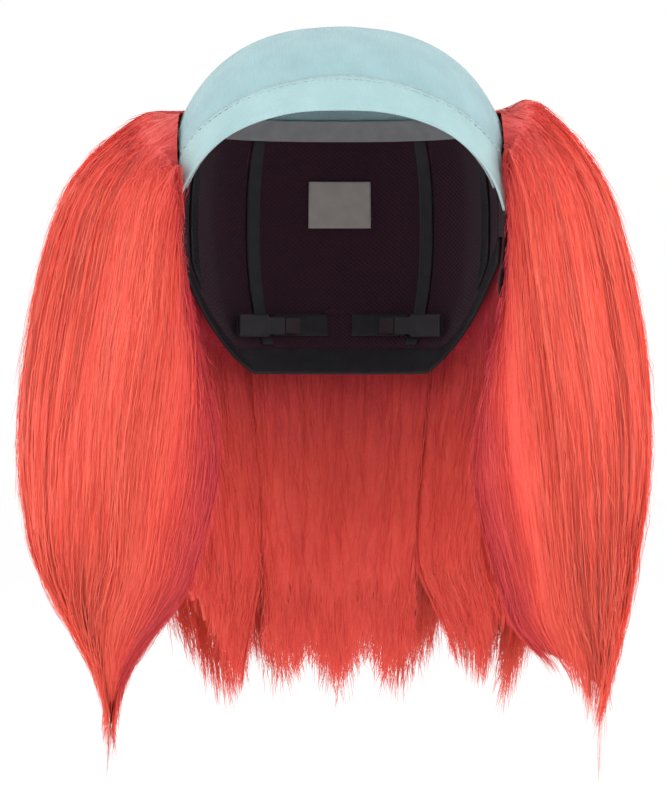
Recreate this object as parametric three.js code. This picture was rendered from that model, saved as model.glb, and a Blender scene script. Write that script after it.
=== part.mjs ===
// Costume wig: a white stretch cap with a bald crown on a dark net base, whose sewn rows of long straight
// hair hang as two wide side bunches and a back curtain. Millimetres, +Z up, face opening towards -Y.
// The origin is the centre of the head opening, level with the tops of the ears.
// Left and right are the sides seen by a person who faces the wig, so left is -X.
// An azimuth is in degrees round the +Z axis: 0 is the front centre, 90 the right side, 180 the back.

import * as THREE from 'three';
import { mergeVertices } from 'three/addons/utils/BufferGeometryUtils.js';

// ---------- driving dimensions ----------

// The inner face of the cap is a rounded form: |x/halfWidth|^power + |y/halfLength|^power + |z/rise|^power = 1.
const FORM = { halfWidth: 79, halfLength: 96, rise: 86, centreY: 2, centreZ: 14, power: 2.35 };

// Each edge line of the hem is centre height - drop * (azimuth / span) ^ power.
const HEM = { end: 56.5, low: { centre: 57.8, drop: 33.2, span: 51.5, power: 2.5 },
  top: { centre: 72.8, drop: 28.2, span: 53.7, power: 2 } };
const RIM = { start: 57, level: 60, dip: 20, reach: 12, blend: 3 };
const EAR = { archHeight: 8, archEnd: 120, tabEnd: 79, tabDrop: 30, tabCornerRise: 11, tabPower: 4 };
const NAPE = { start: 118, settled: 142, height: -43.5, bandWidth: 11 };
const PANEL_GAP = 0.3;

// Layers of the cap, as distances outwards from the form (negative is towards the head).
const LAYER = {
  cap: [0, 1],
  hem: [0, 1.7],
  base: [0, 0.9],
  band: [0, 1.4],
  weft: [1.3, 2.1],
  tape: [-1.8, -0.8],
  stay: [-1.3, -0.7],
  pocket: [-2.5, -1.7],
  hairRoot: 3.9,
};
const SEAM_GAP = 0.45;
const AZIMUTH_STEP = 5.5;
const HEIGHT_STEP = 11;

const CROWN_GRID = { rings: 9, segments: 48 };
const STITCH = { thickness: 0.7, lift: 2.3, below: 1.5, steps: 30, end: 55, sides: 4 };
const FOREHEAD_TAPE = { inset: 4, aboveLow: 2, belowTop: 3 };
const RIM_TAPE = { width: 9, inset: 3 };
const LABEL = { halfAngle: 9, low: 14, high: 36 };
const RIBBON = { width: 7, sideAzimuth: 97, rearAzimuths: [128, 154], endGap: 1 };
const WEFT = { width: 5, shares: [0.9, 0.56, 0.22], start: 60, rearGap: 0.5 };
const STAY = { width: 5, length: 20, azimuth: 68, margin: 3, pocketSide: 2, pocketEnd: 1 };

// One nape adjuster: an elastic strap that slides in a sewn channel and carries a flat plastic hook.
const ADJUSTER = {
  centre: [28.6, 69.6, -33.2],
  turn: 27.6,
  strap: { from: -20.5, to: 3, thickness: 1, width: 8 },
  channel: { from: -21.5, to: -6, gap: 0.5, wall: 0.8 },
  hook: { from: 3.4, to: 11, thickness: 1.1, lip: 4, mouth: 1.3, width: 7 },
  pockets: { azimuths: [158, 176], halfHeight: 5 },
};

// The hair falls from its root along a curve through five points, each [distance from the axis, height].
// outer is the top row's curve and inner the lowest row's, at each guide azimuth.
const HAIR_GUIDES = [
  { azimuth: 59, outer: [[95, 46], [108, 10], [117, -70], [108, -150], [98, -212]],
    inner: [[85, -36], [73, -72], [67, -112], [76, -160], [88, -204]] },
  { azimuth: 90, outer: [[91, 66], [124, 22], [141, -72], [133, -150], [114, -226]],
    inner: [[84, -32], [75, -76], [70, -116], [82, -166], [100, -216]] },
  { azimuth: 135, outer: [[107, 63], [127, 24], [135, -66], [127, -142], [112, -206]],
    inner: [[92, -48], [84, -90], [78, -128], [79, -164], [86, -200]] },
  { azimuth: 180, outer: [[112, 60], [122, 22], [127, -64], [120, -140], [107, -212]],
    inner: [[94, -52], [85, -96], [78, -134], [79, -170], [88, -204]] },
];
const HAIR_LOW = { tab: -14, ear: 13, nape: -38, beforeTabEnd: 9, afterTabEnd: 3 };
const HAIR_BELOW_RIM = 3;
const HAIR_ROWS = [[0.7, 1], [0.37, 0.64], [0, 0.31]];
const HAIR_GRID = { across: 5, along: 10, deep: 2 };
const GATHER = { start: 0.45, side: 0.62, rear: 0.2, back: 0.12 };
// drop lowers a bunch's tip and sink lowers its top, each fading out along the hair.
const BUNCHES = [
  { name: 'left', from: -119.5, to: -59.5, tip: -88, gather: GATHER.side, drop: 12, sink: 7, spread: 1.035 },
  { name: 'rear_left', from: -151.5, to: -120.5, tip: -138, gather: GATHER.rear, drop: 4, sink: 0, spread: 1 },
  { name: 'back', from: 152.5, to: 207.5, tip: 180, gather: GATHER.back, drop: 0, sink: 0, spread: 1 },
  { name: 'rear_right', from: 120.5, to: 151.5, tip: 138, gather: GATHER.rear, drop: 6, sink: 0, spread: 1 },
  { name: 'right', from: 59.5, to: 119.5, tip: 88, gather: GATHER.side, drop: 0, sink: 0, spread: 1 },
];

// ---------- materials ----------

const fabric = (color, roughness) => new THREE.MeshStandardMaterial({ color, roughness, metalness: 0 });
const MATERIAL = {
  cap: fabric(0xd3e2e4, 0.85),
  hem: fabric(0xdcebee, 0.85),
  thread: fabric(0xc4d3d8, 0.7),
  net: fabric(0x1a1d2b, 0.9),
  elastic: fabric(0x15171f, 0.8),
  weft: fabric(0xa83a30, 0.8),
  hair: fabric(0xeb5a43, 0.65),
  label: fabric(0xe9e6de, 0.8),
  hook: new THREE.MeshStandardMaterial({ color: 0x1c1c20, roughness: 0.4, metalness: 0 }),
  stay: new THREE.MeshStandardMaterial({ color: 0xb4b6b8, roughness: 0.35, metalness: 1 }),
};

// ---------- helpers ----------

const radians = THREE.MathUtils.degToRad;
const mix = THREE.MathUtils.lerp;
const ease = THREE.MathUtils.smoothstep;

/** How far an azimuth is from the front centre, from 0 to 180 degrees. */
function fromFront(azimuth) {
  const turned = Math.abs(azimuth) % 360;
  return Math.min(turned, 360 - turned);
}

/** The point of the form at an azimuth and a share of its half-width, at a height above its centre. */
function ringPoint(azimuth, share, height) {
  const { halfWidth, halfLength, centreY, centreZ, power } = FORM;
  const sine = Math.sin(radians(azimuth));
  const cosine = Math.cos(radians(azimuth));
  const spread = Math.abs(sine / halfWidth) ** power + Math.abs(cosine / halfLength) ** power;
  const radius = share * spread ** (-1 / power);
  return new THREE.Vector3(radius * sine, centreY - radius * cosine, centreZ + height);
}

/** The point of the form at an azimuth and a height z. */
function formPoint(azimuth, z) {
  const height = z - FORM.centreZ;
  const share = (1 - Math.abs(height / FORM.rise) ** FORM.power) ** (1 / FORM.power);
  return ringPoint(azimuth, share, height);
}

/** The form's outward direction at a point. */
function formNormal(point) {
  const { halfWidth, halfLength, rise, centreY, centreZ, power } = FORM;
  const slope = (value, half) => Math.sign(value) * Math.abs(value / half) ** (power - 1) / half;
  return new THREE.Vector3(
    slope(point.x, halfWidth),
    slope(point.y - centreY, halfLength),
    slope(point.z - centreZ, rise),
  ).normalize();
}

/** A point moved outwards from the form. */
function lifted(point, lift) {
  return point.addScaledVector(formNormal(point), lift);
}

/** Moves each vertex of a closed geometry through place(vertex), then joins doubled vertices. */
function shaped(geometry, place) {
  const position = geometry.getAttribute('position');
  const vertex = new THREE.Vector3();
  for (let i = 0; i < position.count; i += 1) {
    const moved = place(vertex.fromBufferAttribute(position, i));
    position.setXYZ(i, moved.x, moved.y, moved.z);
  }
  geometry.deleteAttribute('normal');
  geometry.deleteAttribute('uv');
  const joined = mergeVertices(geometry, 1e-3);
  const corners = joined.getIndex().array;
  const kept = [];
  for (let i = 0; i < corners.length; i += 3) {
    const [a, b, c] = corners.slice(i, i + 3);
    if (a !== b && b !== c && c !== a) kept.push(a, b, c);
  }
  joined.setIndex(kept);
  joined.computeVertexNormals();
  return joined;
}

/** A piece of cloth on the form, from one azimuth to another, between two height lines and two lifts. */
function cloth(from, to, low, high, [inside, outside]) {
  const across = Math.max(1, Math.ceil((to - from) / AZIMUTH_STEP));
  const middle = (from + to) / 2;
  const up = Math.max(1, Math.ceil((high(middle) - low(middle)) / HEIGHT_STEP));
  return shaped(new THREE.BoxGeometry(1, 1, 1, across, up, 1), (vertex) => {
    const azimuth = mix(from, to, vertex.x + 0.5);
    const z = mix(low(azimuth), high(azimuth), vertex.y + 0.5);
    return lifted(formPoint(azimuth, z), mix(inside, outside, vertex.z + 0.5));
  });
}

const object = new THREE.Group();

/** Adds a named piece to the object or to a group of it. */
function add(name, geometry, material, parent = object) {
  const mesh = new THREE.Mesh(geometry, material);
  mesh.name = name;
  parent.add(mesh);
}

// ---------- lines on the form ----------

/** Height of one of the hem's edge lines. */
function hemLine({ centre, drop, span, power }, azimuth) {
  return centre - drop * (fromFront(azimuth) / span) ** power;
}

/** Height of the face opening's edge, which is the lower edge of the front hem. */
function hemLow(azimuth) {
  return hemLine(HEM.low, azimuth);
}

/** Height of the seam between the front hem and the crown. */
function hemTop(azimuth) {
  return hemLine(HEM.top, azimuth);
}

/** Height of the rim, where the white crown meets the net base round the sides and back. */
function rim(azimuth) {
  return RIM.level - RIM.dip * Math.exp(-(fromFront(azimuth) - RIM.start) / RIM.reach);
}

/** Height of the crown's lower edge all round. */
function crownEdge(azimuth) {
  const share = ease(fromFront(azimuth), HEM.end - RIM.blend, RIM.start + RIM.blend);
  return mix(hemTop(azimuth), rim(azimuth), share) + SEAM_GAP;
}

/** Height of the rear base's lower edge, which drops from the ears to the nape. */
function napeLine(azimuth) {
  return mix(EAR.archHeight, NAPE.height, ease(fromFront(azimuth), NAPE.start, NAPE.settled));
}

/** Height of the lowest hair roots: on the ear tab, above the ear, then along the nape. */
function hairLow(azimuth) {
  const away = fromFront(azimuth);
  const overEar = ease(away, EAR.tabEnd - HAIR_LOW.beforeTabEnd, EAR.tabEnd + HAIR_LOW.afterTabEnd);
  const side = mix(HAIR_LOW.tab, HAIR_LOW.ear, overEar);
  return mix(side, HAIR_LOW.nape, ease(away, NAPE.start, NAPE.settled));
}

// ---------- cap ----------

/** The white crown: a thin dome, turned as a shell of two arcs and then drawn onto the form. */
function crown() {
  const { rings, segments } = CROWN_GRID;
  const arc = (radius, i) => {
    const angle = (i / rings) * (Math.PI / 2);
    return new THREE.Vector2(radius * Math.sin(angle), radius * Math.cos(angle));
  };
  const outer = Array.from({ length: rings + 1 }, (_, i) => arc(2, rings - i));
  const inner = Array.from({ length: rings + 1 }, (_, i) => arc(1, i));
  const start = outer.pop();
  const profile = [inner.shift(), ...inner, ...outer, new THREE.Vector2(0, start.y)];
  return shaped(new THREE.LatheGeometry(profile, segments), (vertex) => {
    const radius = vertex.length();
    const share = Math.acos(THREE.MathUtils.clamp(vertex.y / radius, -1, 1)) / (Math.PI / 2);
    const azimuth = share < 1e-6 ? 0 : THREE.MathUtils.radToDeg(Math.atan2(vertex.x, vertex.z));
    const edgeRise = (crownEdge(azimuth) - FORM.centreZ) / FORM.rise;
    const angle = share * Math.acos(edgeRise ** (FORM.power / 2));
    const point = ringPoint(azimuth, Math.sin(angle) ** (2 / FORM.power),
      FORM.rise * Math.cos(angle) ** (2 / FORM.power));
    return lifted(point, mix(...LAYER.cap, radius - 1));
  });
}

/** The row of thread that holds the hem down, just above its top edge. */
function topstitch() {
  const points = Array.from({ length: STITCH.steps + 1 }, (_, i) => {
    const azimuth = mix(-STITCH.end, STITCH.end, i / STITCH.steps);
    return lifted(formPoint(azimuth, hemTop(azimuth) - STITCH.below), STITCH.lift);
  });
  const section = new THREE.Shape();
  section.absarc(0, 0, STITCH.thickness / 2, 0, 2 * Math.PI);
  const path = new THREE.CatmullRomCurve3(points);
  const tube = new THREE.ExtrudeGeometry(section, {
    steps: STITCH.steps, extrudePath: path, bevelEnabled: false, curveSegments: STITCH.sides,
  });
  return shaped(tube, (vertex) => vertex);
}

add('crown_cap', crown(), MATERIAL.cap);
add('front_hem_band', cloth(-HEM.end, HEM.end, hemLow, (a) => hemTop(a) - SEAM_GAP, LAYER.hem), MATERIAL.hem);
add('hem_topstitch', topstitch(), MATERIAL.thread);
const tapeEnd = HEM.end - FOREHEAD_TAPE.inset;
add('forehead_tape',
  cloth(-tapeEnd, tapeEnd, (a) => hemLow(a) + FOREHEAD_TAPE.aboveLow, (a) => hemTop(a) - FOREHEAD_TAPE.belowTop,
    LAYER.tape),
  MATERIAL.hem);

// ---------- net base ----------

const SIDES = [['left', -1], ['right', 1]];

/** The azimuth range of a piece on one side, lowest first. */
function range(side, near, far) {
  return side > 0 ? [near, far] : [-far, -near];
}

/** Half of the angle that a width takes up at a radius, in degrees. */
function halfAngle(width, radius) {
  return THREE.MathUtils.radToDeg(width / 2 / radius);
}

const level = (z) => () => z;
const underRim = (azimuth) => rim(azimuth) - SEAM_GAP;

for (const [side, sign] of SIDES) {
  const tabFloor = (azimuth) => {
    const middle = (RIM.start + EAR.tabEnd) / 2;
    const offset = (fromFront(azimuth) - middle) / (EAR.tabEnd - middle);
    return EAR.archHeight - EAR.tabDrop + EAR.tabCornerRise * offset ** EAR.tabPower;
  };
  const underArch = level(EAR.archHeight - SEAM_GAP);
  add(`side_base_${side}`,
    cloth(...range(sign, RIM.start, EAR.archEnd - PANEL_GAP), level(EAR.archHeight), underRim, LAYER.base),
    MATERIAL.net);
  add(`ear_tab_${side}`,
    cloth(...range(sign, RIM.start, EAR.tabEnd), tabFloor, underArch, LAYER.base), MATERIAL.net);
  const stayTop = EAR.archHeight - STAY.margin;
  const stayHalf = halfAngle(STAY.width, FORM.halfWidth);
  const pocketHalf = stayHalf + STAY.pocketSide;
  add(`ear_tab_stay_${side}`,
    cloth(...range(sign, STAY.azimuth - stayHalf, STAY.azimuth + stayHalf), level(stayTop - STAY.length),
      level(stayTop), LAYER.stay),
    MATERIAL.stay);
  add(`stay_pocket_${side}`,
    cloth(...range(sign, STAY.azimuth - pocketHalf, STAY.azimuth + pocketHalf),
      level(stayTop - STAY.length - STAY.pocketEnd), level(stayTop + STAY.pocketEnd), LAYER.pocket),
    MATERIAL.elastic);
}

const REAR = [EAR.archEnd + PANEL_GAP, 360 - EAR.archEnd - PANEL_GAP];
add('rear_base', cloth(...REAR, napeLine, underRim, LAYER.base), MATERIAL.net);
add('nape_band',
  cloth(...REAR, (a) => napeLine(a) - SEAM_GAP - NAPE.bandWidth, (a) => napeLine(a) - SEAM_GAP, LAYER.band),
  MATERIAL.elastic);
add('rim_seam_tape',
  cloth(RIM.start + RIM_TAPE.inset, 360 - RIM.start - RIM_TAPE.inset, (a) => rim(a) - RIM_TAPE.width / 2,
    (a) => rim(a) + RIM_TAPE.width / 2, LAYER.tape),
  MATERIAL.hem);
add('care_label',
  cloth(180 - LABEL.halfAngle, 180 + LABEL.halfAngle, level(LABEL.low), level(LABEL.high), LAYER.tape),
  MATERIAL.label);

const underTape = (azimuth) => rim(azimuth) - RIM_TAPE.width / 2 - RIBBON.endGap;
const ribbonHalf = halfAngle(RIBBON.width, FORM.halfLength);
for (const [side, sign] of SIDES) {
  add(`side_ribbon_${side}`,
    cloth(...range(sign, RIBBON.sideAzimuth - ribbonHalf, RIBBON.sideAzimuth + ribbonHalf),
      level(EAR.archHeight + RIBBON.endGap), underTape, LAYER.tape),
    MATERIAL.elastic);
  RIBBON.rearAzimuths.forEach((azimuth, i) => {
    add(`rear_ribbon_${side}_${i + 1}`,
      cloth(...range(sign, azimuth - ribbonHalf, azimuth + ribbonHalf), (a) => napeLine(a) + RIBBON.endGap,
        underTape, LAYER.tape),
      MATERIAL.elastic);
  });
}

// ---------- sewn rows and hair ----------

/** Height of a row of roots, as a share of the way from the lowest roots to the rim. */
function rowHeight(azimuth, share) {
  return mix(hairLow(azimuth), rim(azimuth) - HAIR_BELOW_RIM, share);
}

WEFT.shares.forEach((share, row) => {
  for (const [side, sign] of SIDES) {
    add(`weft_row_${row + 1}_${side}`,
      cloth(...range(sign, WEFT.start, 180 - WEFT.rearGap), (a) => rowHeight(a, share) - WEFT.width / 2,
        (a) => rowHeight(a, share) + WEFT.width / 2, LAYER.weft),
      MATERIAL.weft);
  }
});

/** The five guide points at an azimuth: eased between the guides on each side of it. */
function guidePoints(azimuth, layer) {
  const away = fromFront(azimuth);
  let next = HAIR_GUIDES.findIndex((guide) => guide.azimuth >= away);
  next = Math.max(1, next < 0 ? HAIR_GUIDES.length - 1 : next);
  const before = HAIR_GUIDES[next - 1];
  const after = HAIR_GUIDES[next];
  const share = ease(away, before.azimuth, after.azimuth);
  return before[layer].map(([radius, z], i) => {
    const [nextRadius, nextZ] = after[layer][i];
    return [mix(radius, nextRadius, share), mix(z, nextZ, share)];
  });
}

/** A point of a bunch: u across it (0 to 1), s from root (0) to tip (1), and row from lowest (0) to top (1). */
function hairPoint(bunch, u, s, row) {
  const rootAzimuth = mix(bunch.from, bunch.to, u);
  const gathered = bunch.gather * ease(s, GATHER.start, 1);
  const azimuth = mix(rootAzimuth, bunch.tip, gathered);
  const root = lifted(formPoint(rootAzimuth, rowHeight(rootAzimuth, row)), LAYER.hairRoot);
  const outer = guidePoints(azimuth, 'outer');
  const inner = guidePoints(azimuth, 'inner');
  const points = [[Math.hypot(root.x, root.y - FORM.centreY), root.z]];
  outer.forEach(([radius, z], i) => {
    const low = inner[i];
    const along = i / (outer.length - 1);
    const lowered = bunch.drop * along ** 3 + bunch.sink * (1 - along) ** 3;
    points.push([mix(low[0], radius * bunch.spread, row), mix(low[1], z, row) - lowered]);
  });
  const curve = new THREE.CatmullRomCurve3(points.map(([radius, z]) => new THREE.Vector3(radius, 0, z)), false,
    'catmullrom', 0.5);
  const along = curve.getPoint(s);
  const angle = radians(azimuth);
  return new THREE.Vector3(along.x * Math.sin(angle), FORM.centreY - along.x * Math.cos(angle), along.z);
}

for (const bunch of BUNCHES) {
  HAIR_ROWS.forEach(([low, high], row) => {
    const block = new THREE.BoxGeometry(1, 1, 1, HAIR_GRID.across, HAIR_GRID.along, HAIR_GRID.deep);
    const hair = shaped(block, (vertex) => hairPoint(bunch, vertex.x + 0.5, 0.5 - vertex.y,
      mix(low, high, vertex.z + 0.5)));
    add(`hair_${bunch.name}_row_${row + 1}`, hair, MATERIAL.hair);
  });
}

// ---------- nape adjusters ----------

/** A closed outline extruded upwards, centred on its height. */
function upright(points, height, hole) {
  const outline = new THREE.Shape(points.map(([x, y]) => new THREE.Vector2(x, y)));
  if (hole) outline.holes.push(new THREE.Path(hole.map(([x, y]) => new THREE.Vector2(x, y))));
  const solid = new THREE.ExtrudeGeometry(outline, { depth: height, bevelEnabled: false });
  return solid.translate(0, 0, -height / 2);
}

/** The hook's side outline: a flat plate whose end returns as a lip, with a narrow mouth between them. */
function hookOutline(sign) {
  const { from, to, thickness, lip, mouth } = ADJUSTER.hook;
  const half = thickness / 2;
  const back = -half - mouth - thickness;
  const corners = [[from, -half], [from, half], [to, half], [to, back], [to - lip, back],
    [to - lip, back + thickness], [to - thickness, back + thickness], [to - thickness, -half]];
  return corners.map(([x, y]) => [x * sign, y]);
}

/** The channel's end outline: a flat tube with room for the strap. */
function channel() {
  const { strap, channel: tube } = ADJUSTER;
  const halfHeight = strap.width / 2 + tube.gap;
  const halfDepth = strap.thickness / 2 + tube.gap;
  const frame = (y, z) => [[-y, -z], [y, -z], [y, z], [-y, z]];
  const solid = upright(frame(halfDepth + tube.wall, halfHeight + tube.wall), tube.to - tube.from,
    frame(halfDepth, halfHeight));
  return solid.rotateX(Math.PI / 2).rotateZ(Math.PI / 2);
}

for (const [side, sign] of SIDES) {
  const { strap, channel: tube, hook, centre, turn, pockets } = ADJUSTER;
  const place = new THREE.Group();
  place.position.set(centre[0] * sign, centre[1], centre[2]);
  place.rotation.z = sign > 0 ? radians(180 - turn) : radians(180 + turn);
  object.add(place);
  const band = new THREE.BoxGeometry(strap.to - strap.from, strap.thickness, strap.width);
  band.translate((sign * (strap.from + strap.to)) / 2, 0, 0);
  add(`adjuster_strap_${side}`, band, MATERIAL.elastic, place);
  add(`adjuster_hook_${side}`, upright(hookOutline(sign), hook.width), MATERIAL.hook, place);
  const sleeve = channel().translate((sign * (tube.from + tube.to)) / 2, 0, 0);
  add(`adjuster_channel_${side}`, sleeve, MATERIAL.net, place);
  add(`adjuster_pockets_${side}`,
    cloth(...range(sign, ...pockets.azimuths), level(centre[2] - pockets.halfHeight),
      level(centre[2] + pockets.halfHeight), LAYER.tape),
    MATERIAL.elastic);
}

export default object;
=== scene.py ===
"""The looks of the costume wig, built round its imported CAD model. Metres, +Z up, face opening towards -Y.

The cap's cloth pieces are swept round the same form that the CAD solids lie on, and the hair grows along the
same guide curves. An azimuth is in degrees round +Z: 0 is the front centre, 90 the right side, 180 the back.
"""

import math

import bpy
import mathutils
import numpy as np
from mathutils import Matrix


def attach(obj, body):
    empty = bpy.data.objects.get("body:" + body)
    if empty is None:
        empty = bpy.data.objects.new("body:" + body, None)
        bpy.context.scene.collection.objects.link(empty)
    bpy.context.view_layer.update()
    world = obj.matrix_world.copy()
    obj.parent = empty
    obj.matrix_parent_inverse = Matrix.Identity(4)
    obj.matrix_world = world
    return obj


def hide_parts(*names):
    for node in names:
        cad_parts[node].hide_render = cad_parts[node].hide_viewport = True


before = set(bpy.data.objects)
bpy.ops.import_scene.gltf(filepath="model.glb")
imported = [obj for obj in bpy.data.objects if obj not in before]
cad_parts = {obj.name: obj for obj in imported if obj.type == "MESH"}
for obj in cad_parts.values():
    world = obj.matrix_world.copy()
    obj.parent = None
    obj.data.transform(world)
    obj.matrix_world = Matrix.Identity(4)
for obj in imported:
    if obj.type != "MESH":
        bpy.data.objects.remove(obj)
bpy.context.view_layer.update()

MM = 0.001
BODY = "cap"

# ---------- the form and its lines, as in the CAD ----------

HALF_WIDTH, HALF_LENGTH, RISE = 79 * MM, 96 * MM, 86 * MM
CENTRE_Y, CENTRE_Z, POWER = 2 * MM, 14 * MM, 2.35

HEM_END = 56.5
RIM_START = 57
EAR_ARCH, TAB_END, TAB_DROP = 8 * MM, 79, 30 * MM
NAPE_START, NAPE_SETTLED, NAPE_HEIGHT, NAPE_BAND = 118, 142, -43.5 * MM, 11 * MM
SEAM_GAP = 0.45 * MM
HAIR_LOW_TAB, HAIR_LOW_EAR, HAIR_LOW_NAPE = -14 * MM, 13 * MM, -38 * MM
HAIR_ROOT_LIFT = 3.2 * MM


def ease(value, low, high):
    """0 below low, 1 above high, and a smooth rise between them."""
    share = np.clip((value - low) / (high - low), 0, 1)
    return share * share * (3 - 2 * share)


def mix(a, b, share):
    return a + (b - a) * share


def from_front(azimuth):
    """How far an azimuth is from the front centre, from 0 to 180 degrees."""
    turned = np.abs(azimuth) % 360
    return np.minimum(turned, 360 - turned)


def ring_points(azimuth, share, height):
    """Points of the form at an azimuth and a share of its half-width, at a height above its centre."""
    sine, cosine = np.sin(np.radians(azimuth)), np.cos(np.radians(azimuth))
    spread = np.abs(sine / HALF_WIDTH) ** POWER + np.abs(cosine / HALF_LENGTH) ** POWER
    radius = share * spread ** (-1 / POWER)
    return np.stack([radius * sine, CENTRE_Y - radius * cosine, CENTRE_Z + height + 0 * radius], axis=-1)


def form_points(azimuth, z):
    """Points of the form at an azimuth and a height."""
    height = z - CENTRE_Z
    share = (1 - np.clip(np.abs(height / RISE), 0, 1) ** POWER) ** (1 / POWER)
    return ring_points(azimuth, share, height)


def form_normals(points):
    """The form's outward directions at points."""
    middle = np.array([0, CENTRE_Y, CENTRE_Z])
    halves = np.array([HALF_WIDTH, HALF_LENGTH, RISE])
    away = points - middle
    slope = np.sign(away) * np.abs(away / halves) ** (POWER - 1) / halves
    return slope / np.linalg.norm(slope, axis=-1, keepdims=True)


def lifted(points, lift):
    return points + form_normals(points) * np.asarray(lift)[..., None]


def hem_low(azimuth):
    """Height of the face opening's edge, which is the fold of the front hem."""
    return (57.8 - 33.2 * (from_front(azimuth) / 51.5) ** 2.5) * MM


def hem_top(azimuth):
    """Height of the seam between the front hem and the crown."""
    return (72.8 - 28.2 * (from_front(azimuth) / 53.7) ** 2) * MM


def rim(azimuth):
    """Height of the rim, where the white crown meets the net base."""
    return (60 - 20 * np.exp(-(from_front(azimuth) - RIM_START) / 12)) * MM


def crown_edge(azimuth):
    away = from_front(azimuth)
    return mix(hem_top(azimuth), rim(azimuth), ease(away, HEM_END - 3, RIM_START + 3)) + SEAM_GAP


def nape_line(azimuth):
    return mix(EAR_ARCH, NAPE_HEIGHT, ease(from_front(azimuth), NAPE_START, NAPE_SETTLED))


def hair_low(azimuth):
    away = from_front(azimuth)
    side = mix(HAIR_LOW_TAB, HAIR_LOW_EAR, ease(away, TAB_END - 9, TAB_END + 3))
    return mix(side, HAIR_LOW_NAPE, ease(away, NAPE_START, NAPE_SETTLED))


def row_height(azimuth, share):
    return mix(hair_low(azimuth), rim(azimuth) - 3 * MM, share)


def level(z):
    return lambda azimuth: z + 0 * azimuth


# ---------- node materials ----------

def srgb(red, green, blue):
    """A linear colour from 0-255 display values."""
    values = np.array([red, green, blue]) / 255
    linear = np.where(values <= 0.04045, values / 12.92, ((values + 0.055) / 1.055) ** 2.4)
    return (*linear, 1.0)


class Nodes:
    """A short way to build a material's node tree."""

    def __init__(self, name, roughness, sheen=0.0, specular=0.3):
        self.material = bpy.data.materials.new(name)
        self.material.use_nodes = True
        self.tree = self.material.node_tree
        self.shader = self.tree.nodes["Principled BSDF"]
        self.shader.inputs["Roughness"].default_value = roughness
        self.shader.inputs["Sheen Weight"].default_value = sheen
        self.shader.inputs["Specular IOR Level"].default_value = specular

    def link(self, source, target):
        self.tree.links.new(source, target)

    def add(self, kind, **settings):
        node = self.tree.nodes.new(kind)
        for key, value in settings.items():
            setattr(node, key, value)
        return node

    def attribute(self, name):
        return self.add("ShaderNodeAttribute", attribute_name=name)

    def math(self, operation, a, b=0.0, clamp=False):
        node = self.add("ShaderNodeMath", operation=operation, use_clamp=clamp)
        for socket, value in zip(node.inputs, (a, b)):
            if isinstance(value, bpy.types.NodeSocket):
                self.link(value, socket)
            else:
                socket.default_value = value
        return node.outputs[0]

    def noise(self, vector, scale, detail=3.0, roughness=0.5):
        node = self.add("ShaderNodeTexNoise")
        node.inputs["Scale"].default_value = scale
        node.inputs["Detail"].default_value = detail
        node.inputs["Roughness"].default_value = roughness
        self.link(vector, node.inputs["Vector"])
        return node.outputs["Fac"]

    def ramp(self, factor, *stops):
        """A colour ramp through (place, colour) stops."""
        node = self.add("ShaderNodeValToRGB")
        elements = node.color_ramp.elements
        for i, (place, colour) in enumerate(stops):
            element = elements[i] if i < 2 else elements.new(place)
            element.position, element.color = place, colour
        self.link(factor, node.inputs["Fac"])
        return node.outputs["Color"]

    def colour(self, socket):
        self.link(socket, self.shader.inputs["Base Color"])

    def bump(self, height, distance):
        node = self.add("ShaderNodeBump")
        node.inputs["Distance"].default_value = distance
        self.link(height, node.inputs["Height"])
        self.link(node.outputs["Normal"], self.shader.inputs["Normal"])

    def thread_grid(self, pitch_along, pitch_across, slant=0.0):
        """Two thread waves, along and across the cloth, from its own measured coordinates."""
        split = self.add("ShaderNodeSeparateXYZ")
        self.link(self.attribute("cloth").outputs["Vector"], split.inputs[0])
        along, across = split.outputs["X"], split.outputs["Y"]
        wale = self.math("MULTIPLY", along, 2 * math.pi / pitch_along)
        course = self.math("MULTIPLY", across, 2 * math.pi / pitch_across)
        if slant:
            bend = self.math("ABSOLUTE", self.math("SINE", self.math("MULTIPLY", wale, 0.5)))
            course = self.math("ADD", course, self.math("MULTIPLY", bend, slant))
        return self.math("SINE", wale), self.math("SINE", course)


def knit(name, light, dark, pitch, depth):
    """Smooth stretch knit: fine V-shaped loops, faint cloudiness and a soft sheen."""
    n = Nodes(name, 0.85, 0.25)
    wale, course = n.thread_grid(pitch, pitch * 0.8, slant=1.6)
    loops = n.math("MULTIPLY", n.math("ADD", n.math("MULTIPLY", wale, 0.6), course), 0.5)
    place = n.attribute("cloth").outputs["Vector"]
    cloud = n.noise(place, 60, 4)
    shade = n.math("ADD", n.math("MULTIPLY", loops, 0.16), cloud)
    n.colour(n.ramp(shade, (0.25, dark), (0.75, light)))
    n.bump(loops, depth)
    return n.material


def net(name, thread, gap, pitch):
    """Elastic net: a fine diamond lattice of threads over small gaps, painted the dark red of the hair behind
    the net in shade.
    """
    n = Nodes(name, 0.9, 0.1)
    split = n.add("ShaderNodeSeparateXYZ")
    n.link(n.attribute("cloth").outputs["Vector"], split.inputs[0])
    along, across = split.outputs["X"], split.outputs["Y"]
    slants = [n.math("MULTIPLY", n.math(way, along, across), math.pi / pitch) for way in ("ADD", "SUBTRACT")]
    hole = n.math("MINIMUM", *[n.math("ABSOLUTE", n.math("SINE", slant)) for slant in slants])
    n.colour(n.ramp(hole, (0.35, thread), (0.6, gap)))
    n.bump(n.math("SUBTRACT", 1.0, hole), 0.0003)
    return n.material


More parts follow.
